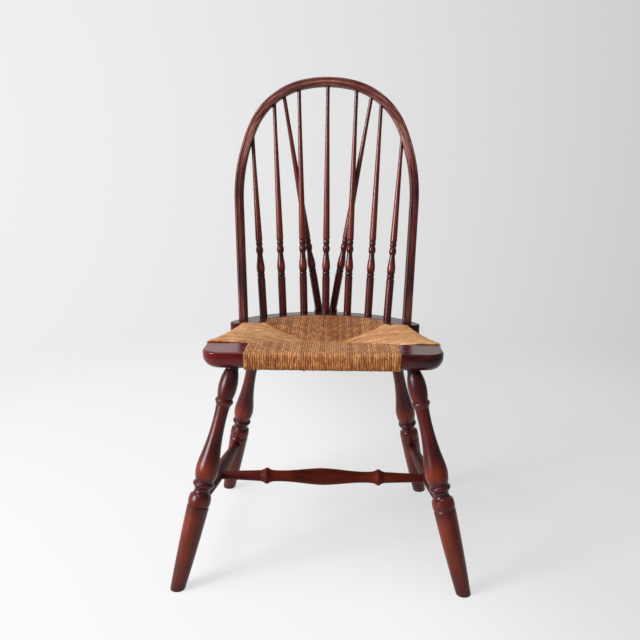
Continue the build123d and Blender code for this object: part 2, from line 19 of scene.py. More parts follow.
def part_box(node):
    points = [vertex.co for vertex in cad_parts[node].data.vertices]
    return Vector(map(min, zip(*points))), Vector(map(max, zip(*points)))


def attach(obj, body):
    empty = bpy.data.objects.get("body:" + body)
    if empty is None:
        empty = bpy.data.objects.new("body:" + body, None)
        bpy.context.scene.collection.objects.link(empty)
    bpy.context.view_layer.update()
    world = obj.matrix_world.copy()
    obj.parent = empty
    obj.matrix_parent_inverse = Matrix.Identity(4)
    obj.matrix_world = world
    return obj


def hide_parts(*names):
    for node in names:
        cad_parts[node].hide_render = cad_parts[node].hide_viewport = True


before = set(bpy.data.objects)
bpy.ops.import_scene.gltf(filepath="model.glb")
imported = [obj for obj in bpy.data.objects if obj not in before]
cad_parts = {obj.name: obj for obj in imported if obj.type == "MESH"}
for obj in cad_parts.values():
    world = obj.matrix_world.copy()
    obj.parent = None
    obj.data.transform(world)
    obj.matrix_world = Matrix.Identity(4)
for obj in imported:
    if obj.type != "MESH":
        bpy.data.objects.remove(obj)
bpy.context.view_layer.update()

LOG = logging.getLogger("windsor_chair")
MM = 0.001
SEED = 1893
WHITE = "#ffffff"

# About one full turn in radians, for random starts.
FULL_TURN = 6.3
# Most values of a noise texture lie between these two.
NOISE_LOW, NOISE_HIGH = 0.3, 0.7
# How many rays feel whether a place lies open or in a groove.
OPEN_AIR_RAYS = 8

Tree = bpy.types.NodeTree
Socket = bpy.types.NodeSocket
Outputs = bpy.types.NodeOutputs
Adder = Callable[..., Outputs]
Material = bpy.types.Material
Colour = tuple[float, float, float, float]
Span = tuple[float, float]
Tones = tuple[tuple[float, float], ...]


def linear(hex_colour: str) -> Colour:
    """Turn an sRGB hex value into linear light.

    Args:
        hex_colour: colour as "#rrggbb".

    Returns:
        Linear red, green, blue and an alpha of 1.
    """
    shares = [int(hex_colour[place:place + 2], 16) / 255 for place in (1, 3, 5)]
    red, green, blue = (s / 12.92 if s <= 0.04045 else ((s + 0.055) / 1.055) ** 2.4 for s in shares)
    return red, green, blue, 1.0


def add_node(tree: Tree, kind: str, inputs: Optional[dict] = None, **settings: Any) -> Outputs:
    """Add one node to a tree, with its settings, values and links.

    Args:
        tree: node tree that gets the node.
        kind: type name of the node, after ShaderNode.
        inputs: input name or number to a socket, which is linked, or to a value, which is set.
        settings: attributes of the node.

    Returns:
        The outputs of the new node.
    """
    node = tree.nodes.new(f"ShaderNode{kind}")
    for name, value in settings.items():
        setattr(node, name, value)
    for key, value in (inputs or {}).items():
        if isinstance(value, Socket):
            tree.links.new(value, node.inputs[key])
        else:
            node.inputs[key].default_value = value
    return node.outputs


def set_ramp(ramp: Outputs, stops: Sequence[tuple[float, Colour]]) -> Socket:
    """Give a colour ramp its stops.

    Args:
        ramp: outputs of the colour ramp's node.
        stops: (place from 0 to 1, colour) pairs in order.

    Returns:
        The ramp's colour socket.
    """
    elements = ramp[0].node.color_ramp.elements
    while len(elements) < len(stops):
        elements.new(1.0)
    for element, (place, colour) in zip(elements, stops):
        element.position = place
        element.color = colour
    return ramp[0]


def grain_noise(add: Adder, local: Socket, size_mm: Span, detail: float, roughness: float = 0.5) -> Socket:
    """Make noise in streaks that run along the grain.

    Args:
        add: adds a node to the material.
        local: place in metres, with Z along the grain.
        size_mm: width and length of one streak.
        detail: how many finer steps the noise has.
        roughness: how strong these finer steps are.

    Returns:
        The noise, from 0 to 1.
    """
    across, along = (1 / (size * MM) for size in size_mm)
    stretched = add("VectorMath", {0: local, 1: (across, across, along)}, operation="MULTIPLY")[0]
    return add("TexNoise", {"Vector": stretched, "Scale": 1.0, "Detail": detail, "Roughness": roughness})[0]


def new_material(name: str) -> tuple[Material, Adder]:
    """Make an empty node material.

    Args:
        name: name of the material.

    Returns:
        The material, and a function that adds a node to it.
    """
    material = bpy.data.materials.new(name)
    material.use_nodes = True
    material.node_tree.nodes.clear()
    return material, partial(add_node, material.node_tree)


def seen_directly(add: Adder) -> Socket:
    """Tell the rays that see a surface itself from those that only carry its light.

    Args:
        add: adds a node to the floor's material or to the room.

    Returns:
        A socket that is 1 for camera, glossy and transmission rays and 0 for the rest.
    """
    ray = add("LightPath")
    seen = add("Math", {0: ray["Is Camera Ray"], 1: ray["Is Glossy Ray"]}, operation="MAXIMUM")[0]
    return add("Math", {0: seen, 1: ray["Is Transmission Ray"]}, operation="MAXIMUM")[0]


def give_finish(node: str, material: Material) -> None:
    """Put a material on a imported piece."""
    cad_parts[node].material_slots[0].material = material
    LOG.info("%s finished in %s", node, material.name)


class Grain(Protocol):
    """Anything that says where the grain of a piece runs."""

    def place(self, add: Adder) -> Socket:
        """Return a vector socket in metres whose Z runs along the grain."""


@dataclass(frozen=True)
class StraightGrain:
    """Grain along a straight piece.

    Attributes:
        origin: point from which the length is counted.
        direction: the way that the grain runs.
    """

    origin: Vector
    direction: Vector

    @classmethod
    def of_turning(cls, node: str, fullest_mm: float) -> "StraightGrain":
        """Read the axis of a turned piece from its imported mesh.

        Args:
            node: name of the piece.
            fullest_mm: place of the turning's fullest ring, counted along the axis.

        Returns:
            Grain that is counted from the turning's own zero.
        """
        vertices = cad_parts[node].data.vertices
        points = np.empty(len(vertices) * 3, np.float32)
        vertices.foreach_get("co", points)
        points = points.reshape(-1, 3).astype(float)
        middle = points.mean(0)
        direction = np.linalg.svd(points - middle, full_matrices=False)[2][0]
        direction *= np.sign(direction[np.abs(direction).argmax()])
        along = (points - middle) @ direction
        radius = np.linalg.norm(points - middle - np.outer(along, direction), axis=1)
        start = middle + direction * (along[radius.argmax()] - fullest_mm * MM)
        return cls(Vector(start), Vector(direction))

    def place(self, add: Adder) -> Socket:
        """Lay coordinates along the piece.

        Args:
            add: adds a node to the material.

        Returns:
            A vector socket in metres whose Z runs along the grain.
        """
        turn = Vector((0, 0, 1)).rotation_difference(self.direction).to_euler()
        where = add("TexCoord")["Object"]
        inputs = {"Vector": where, "Location": self.origin, "Rotation": turn}
        return add("Mapping", inputs, vector_type="TEXTURE")[0]


@dataclass(frozen=True)
class BentGrain:
    """Grain that follows a bow: up its legs and round an arch.

    Attributes:
        foot: middle of the bow's foot line.
        lean: angle in radians by which the bow leans back.
        spring_mm: height in the bow's plane where the arch starts.
        radius_mm: mean radius of the arch.
    """

    foot: Vector
    lean: float
    spring_mm: float
    radius_mm: float

    def place(self, add: Adder) -> Socket:
        """Lay coordinates up the bow's legs and round its arch.

        Args:
            add: adds a node to the material.

        Returns:
            A vector socket in metres whose Z runs along the bow and is 0 where the arch starts.
        """
        where = add("TexCoord")["Object"]
        inputs = {"Vector": where, "Location": self.foot, "Rotation": (-self.lean, 0.0, 0.0)}
        flat = add("Mapping", inputs, vector_type="TEXTURE")[0]
        parts = add("SeparateXYZ", {0: flat})
        across = add("Math", {0: parts[0]}, operation="ABSOLUTE")[0]
        spring = self.spring_mm * MM
        above = add("Math", {0: parts[2], 1: spring}, operation="SUBTRACT")[0]
        arch = add("Math", {0: above, 1: 0.0}, operation="MAXIMUM")[0]
        leg = add("Math", {0: above, 1: 0.0}, operation="MINIMUM")[0]
        angle = add("Math", {0: arch, 1: across}, operation="ARCTAN2")[0]
        bend = {0: angle, 1: self.radius_mm * MM, 2: leg}
        along = add("Math", bend, operation="MULTIPLY_ADD")[0]
        corner = add("CombineXYZ", {0: across, 1: arch})[0]
        reach = add("VectorMath", {0: corner}, operation="LENGTH")["Value"]
        return add("CombineXYZ", {0: reach, 1: parts[1], 2: along})[0]


@dataclass(frozen=True)
class VarnishedMahogany:
    """Hardwood stained mahogany red and varnished by hand.

    The stain is near black in the quirks, where it gathered, and glows orange-red on the full turnings,
    where hands and feet rubbed it thin. Grooves and places next to other pieces are darkened as far as
    they are closed in, which is gathered stain and painted shade. The tones along each piece are partly
    the stain's own and partly painted light and shade. The varnish gives a soft-edged gloss. The pores
    of the wood are too fine to show, so the grain is drawn coarser than it is.

    Attributes:
        gathered, stain, rubbed: colours of the stain from thick to thin; the darkest also serves as painted
            shade, and the lightest partly as painted light.
        grain_mm, mottle_mm: width and length of a streak of the grain and of a patch of thicker stain.
        streak, mottle: how far these two lighten or darken the stain.
        stain_and_shade_mm: how far round a place the occlusion looks; grooves and joints darken, as gathered
            stain and painted shade.
        stain_and_shade_span: shares of open air at which a place is darkest and at which it is not darkened.
        gloss: roughness of the varnish.
        specular: how strongly the varnish mirrors, where 0.5 is fresh varnish.
    """

    gathered: str = "#160304"
    stain: str = "#4c0f0e"
    rubbed: str = "#7c2c14"
    grain_mm: Span = (1.6, 48.0)
    grain_detail: float = 4.0
    grain_roughness: float = 0.6
    streak: float = 0.12
    mottle_mm: Span = (22.0, 66.0)
    mottle_detail: float = 3.0
    mottle_span: Span = (0.35, 0.65)
    mottle: float = 0.16
    stain_and_shade_mm: float = 7.0
    stain_and_shade_span: Span = (0.35, 0.85)
    gloss: float = 0.28
    gloss_spread: float = 0.06
    specular: float = 0.35
    ior: float = 1.5
    bump_mm: float = 0.03
    bump: float = 0.5

    def material(self, name: str, grain: Grain, length_mm: float, tones: Tones) -> Material:
        """Make the finish for one piece.

        Args:
            name: name of the piece.
            grain: where the grain of the piece runs.
            length_mm: length over which the tones are placed.
            tones: (place in mm, level) pairs along the piece, where 0 is gathered and 1 is rubbed; partly
                the stain's own tone and partly painted light and shade.

        Returns:
            The material.
        """
        material, add = new_material(f"varnished_mahogany_{name}")
        local = grain.place(add)
        height = add("SeparateXYZ", {0: local})[2]
        share = add("MapRange", {0: height, 2: length_mm * MM})[0]
        # Level along the piece: partly the stain's own tone, partly painted light and shade.
        stops = [(at / length_mm, (level, level, level, 1.0)) for at, level in tones]
        level = set_ramp(add("ValToRGB", {0: share}), stops)

        streak = grain_noise(add, local, self.grain_mm, self.grain_detail, self.grain_roughness)
        mottle = grain_noise(add, local, self.mottle_mm, self.mottle_detail)
        thick, thin = self.mottle_span
        swings = (
            {0: mottle, 1: thick, 2: thin, 3: -self.mottle, 4: self.mottle},
            {0: streak, 1: NOISE_LOW, 2: NOISE_HIGH, 3: -self.streak, 4: self.streak},
        )
        for swing in swings:
            swing = add("MapRange", swing)[0]
            level = add("Math", {0: level, 1: swing}, operation="ADD")[0]
        # Darken grooves and places next to other pieces as far as they are closed in: gathered stain, and
        # painted shade.
        open_air = add("AmbientOcclusion", {"Distance": self.stain_and_shade_mm * MM}, samples=OPEN_AIR_RAYS)["AO"]
        full, empty = self.stain_and_shade_span
        stain_and_shade = add("MapRange", {0: open_air, 1: full, 2: empty})[0]
        level = add("Math", {0: level, 1: stain_and_shade}, operation="MULTIPLY")[0]
        colours = [(0.0, linear(self.gathered)), (0.5, linear(self.stain)), (1.0, linear(self.rubbed))]
        colour = set_ramp(add("ValToRGB", {0: level}), colours)

        rough = {0: mottle, 1: NOISE_LOW, 2: NOISE_HIGH, 3: self.gloss, 4: self.gloss + self.gloss_spread}
        rough = add("MapRange", rough)[0]
        relief = add("Bump", {"Height": streak, "Distance": self.bump_mm * MM, "Strength": self.bump})[0]
        inputs = {"Base Color": colour, "Roughness": rough, "Normal": relief, "IOR": self.ior,
                  "Specular IOR Level": self.specular}
        shader = add("BsdfPrincipled", inputs)[0]
        add("OutputMaterial", {"Surface": shader})
        return material


@dataclass(frozen=True)
class TwistedRush:
    """Dried rush leaves twisted into cord by hand: matt, fibrous and golden brown.

    Each cord has its own shade, the plies show as slanting bands, and the gaps between the cords are
    darkened with painted shade. Single fibres are too fine to show, so their streaks are drawn coarser.

    Attributes:
        shades: colours of the cords from dark to light.
        gap_shade: colour of the painted shade deep between the cords.
        gap_shade_span: shares of open air at which that painted shade is full and at which it is gone.
        faded_and_sheen, fading_and_sheen: colour to which upper faces are lightened, as bleaching and
            painted sheen, and how far on the palest cord.
        pitch_mm: length in which the drawn fibres go once round a cord.
        fibre_mm, fibres: length of one fibre's streak, and how many streaks lie round a cord.
        patch_mm: size of the patches in which the rush aged lighter or darker.
        band, fibre, patch: how far the plies, the streaks and the patches change the shade.
    """

    shades: tuple[str, ...] = ("#784017", "#ac662a", "#c98848", "#e6c196")
    gap_shade: str = "#6f3d18"
    gap_shade_mm: float = 4.0
    gap_shade_span: Span = (0.15, 0.65)
    faded_and_sheen: str = "#d1ab80"
    fading_and_sheen: float = 0.65
    pitch_mm: float = 17.0
    band: float = 0.14
    fibre_mm: float = 9.0
    fibres: float = 4.0
    fibre_span: Span = (0.25, 0.75)
    fibre_roughness: float = 0.65
    fibre: float = 0.36
    patch_mm: float = 17.0
    patch: float = 0.2
    detail: float = 3.0
    bump_mm: float = 0.4
    bump: float = 0.6
    roughness: float = 0.62
    specular: float = 0.5

    def twist(self, add: Adder, shade: Socket) -> tuple[Socket, Socket]:
        """Draw the fibres and the plies, which slant round each cord.

        Args:
            add: adds a node to the material.
            shade: shade of the cord, which also sets its fibres apart from those of its neighbours.

        Returns:
            Streaks of the fibres and bands of the plies, both from 0 to 1.
        """
        along = add("UVMap", uv_map=RushSeat.COORDINATES)[0]
        parts = add("SeparateXYZ", {0: along})
        turn = {0: parts[0], 1: 1 / (self.pitch_mm * MM), 2: parts[1]}
        turn = add("Math", turn, operation="MULTIPLY_ADD")[0]
        ply = add("Math", {0: turn, 1: 1.0}, operation="PINGPONG")[0]
        twisted = add("CombineXYZ", {0: parts[0], 1: turn})[0]
        twisted = {0: twisted, 1: (1 / (self.fibre_mm * MM), self.fibres, 1.0)}
        twisted = add("VectorMath", twisted, operation="MULTIPLY")[0]
        fibre = {"Vector": twisted, "W": shade, "Scale": 1.0, "Detail": self.detail,
                 "Roughness": self.fibre_roughness}
        fibre = add("TexNoise", fibre, noise_dimensions="4D")[0]
        return fibre, ply

    def colour(self, add: Adder, shade: Socket, fibre: Socket, ply: Socket) -> Socket:
        """Colour the cords, paint shade into the gaps between them, and lighten what looks up with bleaching
        and painted sheen.

        Args:
            add: adds a node to the material.
            shade: shade of the cord.
            fibre: streaks of the fibres.
            ply: bands of the plies.

        Returns:
            The colour.
        """
        where = add("TexCoord")["Object"]
        patches = {"Vector": where, "Scale": 1 / (self.patch_mm * MM), "Detail": self.detail}
        patches = add("TexNoise", patches)[0]
        dark, pale = self.fibre_span
        swings = (
            {0: fibre, 1: dark, 2: pale, 3: -self.fibre, 4: self.fibre},
            {0: ply, 3: -self.band, 4: self.band},
            {0: patches, 1: NOISE_LOW, 2: NOISE_HIGH, 3: -self.patch, 4: self.patch},
        )
        level = shade
        for swing in swings:
            swing = add("MapRange", swing)[0]
            level = add("Math", {0: level, 1: swing}, operation="ADD")[0]
        last = len(self.shades) - 1
        stops = [(number / last, linear(colour)) for number, colour in enumerate(self.shades)]
        colour = set_ramp(add("ValToRGB", {0: level}), stops)
        # Painted shade: the gaps between the cords darken as far as they are closed in.
        open_air = add("AmbientOcclusion", {"Distance": self.gap_shade_mm * MM}, samples=OPEN_AIR_RAYS)["AO"]
        shut, clear = self.gap_shade_span
        light = add("MapRange", {0: open_air, 1: shut, 2: clear})[0]
        mixed = add("Mix", {0: light, 6: linear(self.gap_shade), 7: colour}, data_type="RGBA")[2]
        # Upper faces lighten, the palest cords most: bleaching, and painted sheen.
        upward = add("NewGeometry")["Normal"]
        upward = add("SeparateXYZ", {0: upward})[2]
        upward = add("MapRange", {0: upward, 4: self.fading_and_sheen})[0]
        upward = add("Math", {0: upward, 1: shade}, operation="MULTIPLY")[0]
        return add("Mix", {0: upward, 6: mixed, 7: linear(self.faded_and_sheen)}, data_type="RGBA")[2]

    def material(self, name: str) -> Material:
        """Make the finish of the woven cords.

        Args:
            name: name of the piece.

        Returns:
            The material, which reads the cords' shade and their own coordinates.
        """
        material, add = new_material(f"twisted_rush_{name}")
        shade = add("Attribute", attribute_name=RushSeat.SHADE)["Fac"]
        fibre, ply = self.twist(add, shade)
        relief = add("Bump", {"Height": fibre, "Distance": self.bump_mm * MM, "Strength": self.bump})[0]
        inputs = {"Base Color": self.colour(add, shade, fibre, ply), "Roughness": self.roughness,
                  "Normal": relief, "Specular IOR Level": self.specular}
        shader = add("BsdfPrincipled", inputs)[0]
        add("OutputMaterial", {"Surface": shader})
        return material


@dataclass(frozen=True)
class BareWood:
    """Planed hardwood with no finish, as the rails under the rush are left: pale and dry.

    Attributes:
        dark, light: colours of the grain.
        grain_mm: width and length of one streak of the grain.
        bump_mm: height of the grain.
    """

    dark: str = "#7a5a38"
    light: str = "#b08a5c"
    grain_mm: Span = (2.0, 60.0)
    grain_detail: float = 4.0
    bump_mm: float = 0.1
    roughness: float = 0.7

    def material(self, name: str, grain: Grain) -> Material:
        """Make the finish for one rail.

        Args:
            name: name of the piece.
            grain: where the grain of the piece runs.

        Returns:
            The material.
        """
        material, add = new_material(f"bare_hardwood_{name}")
        streak = grain_noise(add, grain.place(add), self.grain_mm, self.grain_detail)
        stops = [(NOISE_LOW, linear(self.dark)), (NOISE_HIGH, linear(self.light))]
        colour = set_ramp(add("ValToRGB", {0: streak}), stops)
        relief = add("Bump", {"Height": streak, "Distance": self.bump_mm * MM})[0]
        inputs = {"Base Color": colour, "Roughness": self.roughness, "Normal": relief}
        shader = add("BsdfPrincipled", inputs)[0]
        add("OutputMaterial", {"Surface": shader})
        return material


@dataclass(frozen=True)
class PaleFloor:
    """Matt white painted floor that fades out into the pale backdrop and is clear from below.

    Attributes:
        bounce: colour of the light that it throws back at the chair.
        pale: how much of the floor's look is plain white, so that the shadow stays light.
        dusk, dusk_way: level to which that white falls away from the window, a painted fall-off of its light
            and of the chair's shadow, and the way in which it does.
        middle_m: how far behind the chair the floor's middle lies.
        fade_from_m, fade_to_m: reach from there in which the floor turns into the backdrop.
    """

    paint: str = "#f4f4f3"
    roughness: float = 0.6
    specular: float = 0.2
    bounce: str = "#7c7b79"
    pale: float = 0.65
    dusk: float = 0.8
    dusk_way: tuple[float, float, float] = (0.96, 0.28, 0.0)
    dusk_from_m: float = 0.0
    dusk_to_m: float = 0.5
    middle_m: float = 0.3
    fade_from_m: float = 0.95
    fade_to_m: float = 1.9

    def material(self) -> Material:
        """Make the floor's material.

        Returns:
            The material.
        """
        material, add = new_material("matt_white_floor_paint")
        where = add("TexCoord")["Object"]
        reach = add("VectorMath", {0: where, 1: (0.0, self.middle_m, 0.0)}, operation="DISTANCE")["Value"]
        fade = {0: reach, 1: self.fade_from_m, 2: self.fade_to_m}
        fade = add("MapRange", fade, interpolation_type="SMOOTHSTEP")[0]
        paint = {"Base Color": linear(self.paint), "Roughness": self.roughness,
                 "Specular IOR Level": self.specular}
        paint = add("BsdfPrincipled", paint)[0]
        # Painted fall-off: the white darkens away from the window, towards the right.
        across = add("VectorMath", {0: where, 1: self.dusk_way}, operation="DOT_PRODUCT")["Value"]
        level = {0: across, 1: self.dusk_from_m, 2: self.dusk_to_m, 3: 1.0, 4: self.dusk}
        level = add("MapRange", level, interpolation_type="SMOOTHSTEP")[0]
        white = add("Emission", {"Color": linear(WHITE), "Strength": level})[0]
        look = add("MixShader", {0: self.pale, 1: paint, 2: white})[0]
        bounce = add("BsdfDiffuse", {"Color": linear(self.bounce)})[0]
        look = add("MixShader", {0: seen_directly(add), 1: bounce, 2: look})[0]
        below = add("NewGeometry")["Backfacing"]
        gone = add("Math", {0: fade, 1: below}, operation="MAXIMUM")[0]
        clear = add("BsdfTransparent")[0]
        shader = add("MixShader", {0: gone, 1: look, 2: clear})[0]
        add("OutputMaterial", {"Surface": shader})
        return material


@dataclass
class SeatPlane:
    """Tilted plane of the seat, in which the rush is woven.

    Attributes:
        front, height: Y and Z of the seat's front edge, in metres.
        tilt_deg: fall of the seat towards the back.
    """

    front: float
    height: float
    tilt_deg: float = 1.6

    def place(self, points_mm: np.ndarray) -> np.ndarray:
        """Bring seat points into the chair's frame.

        Args:
            points_mm: x, depth from the front edge and rise above the seat, in mm, on the last axis.

        Returns:
            The same array of points as x, y and z in metres.
        """
        x, depth, rise = np.moveaxis(points_mm * MM, -1, 0)
        fall = math.radians(self.tilt_deg)
        y = self.front + depth * math.cos(fall) + rise * math.sin(fall)
        z = self.height - depth * math.sin(fall) + rise * math.cos(fall)
        return np.stack([x, y, z], -1)


class Wedge(Enum):
    """The four fields of a rush seat, which meet in seams."""

    FRONT = "front"
    REAR = "rear"
    LEFT = "left"
    RIGHT = "right"

    @property
    def is_side(self) -> bool:
        """Whether the field lies at one side of the seat."""
        return self in (Wedge.LEFT, Wedge.RIGHT)


def rounded(points: Sequence[Span], rounds: int = 3, cut: float = 0.25) -> np.ndarray:
    """Round the corners of an open line by cutting them again and again.

    Args:
        points: corners of the line.
        rounds: how often the corners are cut.
        cut: share of each run that one cut takes off.

    Returns:
        Points of the rounded line, with the same ends.
    """
    line = np.array(points, float)
    for _ in range(rounds):
        early = (1 - cut) * line[:-1] + cut * line[1:]
        late = cut * line[:-1] + (1 - cut) * line[1:]
        inner = np.stack([early, late], 1).reshape(-1, line.shape[1])
        line = np.concatenate([line[:1], inner[1:-1], line[-1:]])
    return line


def evenly(line: np.ndarray, step: float, fewest: int = 6) -> tuple[np.ndarray, np.ndarray]:
    """Space points evenly along a line.

    Args:
        line: points of the line.
        step: distance between points, about.
        fewest: how many points a short line still gets.

    Returns:
        The even points, and how far along the line each one is.
    """
    lengths = np.concatenate([[0.0], np.cumsum(np.linalg.norm(np.diff(line, axis=0), axis=1))])
    along = np.linspace(0.0, lengths[-1], max(fewest, round(lengths[-1] / step)))
    return np.stack([np.interp(along, lengths, column) for column in line.T], 1), along


@dataclass
class CordMesh:
    """Cords gathered into one mesh.

    Attributes:
        sides: corners of a cord's section.
        coordinates: place along and round the cord, for each corner of each face.
        count: how many points there are so far.
    """

    sides: int = 8
    points: list[np.ndarray] = field(default_factory=list)
    faces: list[tuple[int, ...]] = field(default_factory=list)
    coordinates: list[Span] = field(default_factory=list)
    shades: list[np.ndarray] = field(default_factory=list)
    count: int = 0

    def add(self, rings: np.ndarray, along: np.ndarray, shade: float) -> None:
        """Add one cord with closed ends.

        Args:
            rings: section corners, as rings by corners by x, y and z.
            along: how far along the cord each ring is, in metres.
            shade: shade of the cord from 0 to 1.
        """
        sides, first = self.sides, self.count
        for ring in range(len(rings) - 1):
            for side in range(sides):
                here, there = first + ring * sides, first + (ring + 1) * sides
                beside = (side + 1) % sides
                self.faces.append((here + side, here + beside, there + beside, there + side))
                low, high = side / sides, (side + 1) / sides
                near, far = along[ring], along[ring + 1]
                self.coordinates += [(near, low), (near, high), (far, high), (far, low)]
        last = first + (len(rings) - 1) * sides
        self.faces.append(tuple(first + side for side in reversed(range(sides))))
        self.faces.append(tuple(last + side for side in range(sides)))
        self.coordinates += [(along[0], side / sides) for side in reversed(range(sides))]
        self.coordinates += [(along[-1], side / sides) for side in range(sides)]
        self.points.append(rings.reshape(-1, 3))
        self.shades.append(np.full(len(rings) * sides, shade))
        self.count += len(rings) * sides

    def build(self, name: str, shade_name: str, coordinate_name: str) -> bpy.types.Object:
        """Make the mesh object.

        Args:
            name: name of the object.
            shade_name: attribute that holds each cord's shade.
            coordinate_name: map that holds each cord's own coordinates.

        Returns:
            The object, in the chair's frame.
        """
        mesh = bpy.data.meshes.new(name)
        mesh.from_pydata(np.concatenate(self.points).tolist(), [], self.faces)
        shades = mesh.attributes.new(shade_name, "FLOAT", "POINT")
        shades.data.foreach_set("value", np.concatenate(self.shades).astype(np.float32))
        layer = mesh.uv_layers.new(name=coordinate_name)
        layer.data.foreach_set("uv", np.array(self.coordinates, np.float32).ravel())
        mesh.polygons.foreach_set("use_smooth", np.ones(len(mesh.polygons), bool))
        mesh.update()
        piece = bpy.data.objects.new(name, mesh)
        bpy.context.scene.collection.objects.link(piece)
        return piece


def section_angles() -> np.ndarray:
    """Return the angles of a cord section's corners."""
    return np.linspace(0, 2 * math.pi, CordMesh.sides, endpoint=False)


@dataclass(frozen=True)
class RushCord:
    """One cord twisted by hand from rush leaves, in mm.

    Attributes:
        overlap: half width of a cord as a share of the spacing, over a half so that the weave is closed.
        twist, ply: length of one turn, and how far the plies stand out.
        sway_run, swell_run: shortest and longest wave in which a loose cord sways and swells.
        swell, uneven: how much a loose cord swells, and how much it differs from the next one.
    """

    spacing: float = 4.2
    height: float = 4.3
    overlap: float = 0.68
    step: float = 4.0
    twist: float = 34.0
    plies: int = 2
    ply: float = 0.09
    sway_run: Span = (3.0, 8.0)
    swell_run: Span = (4.0, 8.0)
    swell: float = 0.2
    uneven: float = 0.15

    def section(self, along: np.ndarray, loose: float, dice: random.Random) -> tuple[np.ndarray, np.ndarray]:
        """Shape the cord's section at each place along it.

        Args:
            along: the places.
            loose: how loosely the cord lies.
            dice: seeded source of the cord's unevenness.

        Returns:
            Offsets of the section's corners to the side and upwards, a row for each place.
        """
        sway = loose * np.sin(along / dice.uniform(*self.sway_run) + dice.uniform(0, FULL_TURN))
        swell = np.sin(along / dice.uniform(*self.swell_run) + dice.uniform(0, FULL_TURN))
        swell = 1 + self.swell * loose * swell
        size = dice.uniform(1 - self.uneven * loose, 1 + self.uneven * loose)
        start = dice.uniform(0, FULL_TURN)
        angles = section_angles()
        turned = angles[None] - 2 * math.pi * along[:, None] / self.twist - start
        radius = (1 + self.ply * np.cos(self.plies * turned)) * (swell * size)[:, None]
        side = sway[:, None] + self.overlap * self.spacing * radius * np.cos(angles)
        up = 0.5 * self.height * radius * np.sin(angles)
        return side, up


@dataclass(frozen=True)
class FibreTuft:
    """Broken fibres that hang from the lower edge of the front, in mm.

    Attributes:
        shortest: the shortest fibre as a share of the longest.
        taper: share of the radius that is lost at the tip.
        scatter, lean: how far a root lies off and a tip leans, to either side.
        depth, root: depth behind the front edge, and how far a root reaches up into the weave.
    """

    fibres: int = 4
    sections: int = 5
    length: float = 6.0
    shortest: float = 0.6
    radius: float = 0.9
    taper: float = 0.9
    scatter: float = 1.5
    lean: float = 2.0
    depth: float = 5.0
    root: float = 2.0
    # The fibres are kept dark: painted shade, as they hang under the front edge.
    shade: float = 0.1

    def hang(self, cords: CordMesh, plane: SeatPlane, place: Span, dice: random.Random) -> None:
        """Hang one tuft.

        Args:
            cords: mesh that takes the fibres.
            plane: plane of the seat.
            place: x of the tuft, and rise of the edge that it hangs from.
            dice: seeded source of the fibres' spread.
        """
        middle, edge = place
        angles = section_angles()
        down = np.linspace(0.0, 1.0, self.sections)
        radius = self.radius * (1 - self.taper * down[:, None])
        for _ in range(self.fibres):
            lean = dice.uniform(-self.lean, self.lean)
            reach = dice.uniform(self.shortest, 1.0) * self.length
            root = middle + dice.uniform(-self.scatter, self.scatter)
            x = root + lean * down[:, None] ** 2 + radius * np.cos(angles)
            depth = self.depth + radius * np.sin(angles)
            rise = self.root + edge - reach * down[:, None] + 0 * angles
            rings = np.stack([x, depth, rise], 2)[:, ::-1]
            cords.add(plane.place(rings), down * reach * MM, self.shade)


